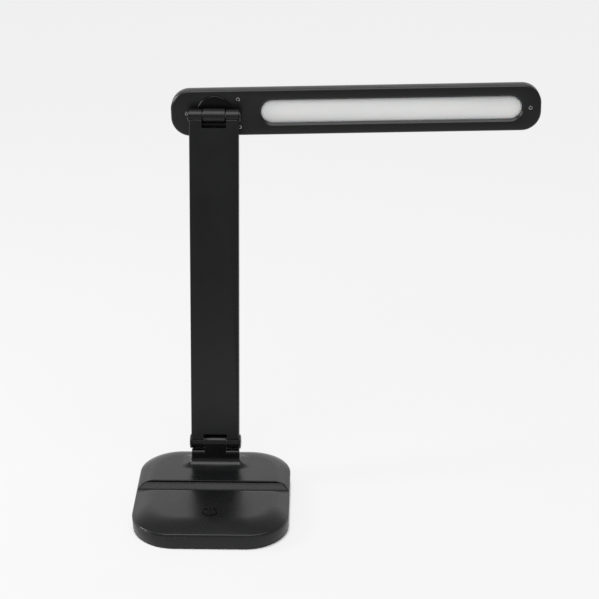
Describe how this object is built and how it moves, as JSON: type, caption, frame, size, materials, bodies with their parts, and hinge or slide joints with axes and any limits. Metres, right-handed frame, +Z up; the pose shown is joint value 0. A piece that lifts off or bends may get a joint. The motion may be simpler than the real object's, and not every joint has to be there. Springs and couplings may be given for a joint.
{
  "type": "desk lamp",
  "caption": "Folding desk lamp: a weighted rounded base with a phone groove, a flat hinged arm, and a tilting, swivelling light bar with an opal diffuser.",
  "frame": {"origin": "centre of the flat face of the anti-slip pad, on the surface the lamp stands on", "axes": "+Z up, +X to the right, +Y to the back; the touch area and phone groove are towards -Y, the neck and arm hinge towards +Y"},
  "size_m": [0.3629, 0.2019, 0.3667],
  "materials": {
    "moulded_black": "satin moulded black with a fine even texture",
    "black_trim": "glossier black caps",
    "rubber_pad": "matt black anti-slip pad",
    "opal_plastic": "milky opal diffuser, satin",
    "white_plastic": "bright white reflector",
    "white_board": "white solder mask with light chips",
    "circuit_board": "green solder mask",
    "wire_jacket": "soft black jacket",
    "battery_wrap": "blue heat-shrink wrap",
    "bright_steel": "plated sheet steel",
    "screw_steel": "plated screws with a socket drive",
    "ballast_steel": "raw cut plate",
    "copper_foil": "copper foil",
    "plain_aluminium": "mill finish strip"
  },
  "bodies": {
    "base": {"base_lid": "moulded_black", "base_tray": "moulded_black", "anti_slip_pad": "rubber_pad", "ballast_plate": "ballast_steel", "battery_cell": "battery_wrap", "control_board": "circuit_board", "charging_socket": "bright_steel", "touch_electrode": "copper_foil", "touch_board": "circuit_board", "hinge_bracket": "bright_steel", "battery_wire": "wire_jacket", "neck_wire": "wire_jacket", "base_screw_1": "screw_steel", "base_screw_2": "screw_steel", "base_screw_3": "screw_steel", "base_screw_4": "screw_steel"},
    "arm": {"arm_front_cover": "moulded_black", "arm_rear_cover": "moulded_black", "arm_stiffener": "plain_aluminium", "arm_wire": "wire_jacket", "arm_screw_1": "screw_steel", "arm_screw_2": "screw_steel", "arm_screw_3": "screw_steel", "arm_screw_4": "screw_steel", "lower_hinge_pin": "bright_steel", "lower_hinge_nut": "bright_steel", "lower_washer_left": "bright_steel", "lower_washer_right": "bright_steel", "lower_cap_left": "black_trim", "lower_cap_right": "black_trim", "upper_hinge_pin": "bright_steel", "upper_hinge_nut": "bright_steel", "upper_washer_left": "bright_steel", "upper_washer_right": "bright_steel", "upper_cap_left": "black_trim", "upper_cap_right": "black_trim"},
    "yoke": {"head_yoke": "moulded_black", "swivel_retainer": "bright_steel", "swivel_wave_washer": "bright_steel", "swivel_screw": "screw_steel"},
    "head": {"head_bezel": "moulded_black", "head_shell": "moulded_black", "diffuser": "opal_plastic", "led_board": "white_board", "reflector": "white_plastic", "head_wire": "wire_jacket", "head_screw_1": "screw_steel", "head_screw_2": "screw_steel", "head_screw_3": "screw_steel", "head_screw_4": "screw_steel"}
  },
  "joints": [
    {"name": "arm_fold", "type": "hinge", "parent": "base", "child": "arm", "pos_m": [0, 0.0464, 0.0416], "axis": [1, 0, 0], "range_deg": [-10, 101.5]},
    {"name": "head_tilt", "type": "hinge", "parent": "arm", "child": "yoke", "pos_m": [0, 0.10687, 0.33881], "axis": [1, 0, 0], "range_deg": [-11.5, 120]},
    {"name": "head_swivel", "type": "hinge", "parent": "yoke", "child": "head", "pos_m": [0, 0.11537, 0.33841], "axis": [0, 1, 0], "range_deg": [-88.5, 91.5]}
  ]
}
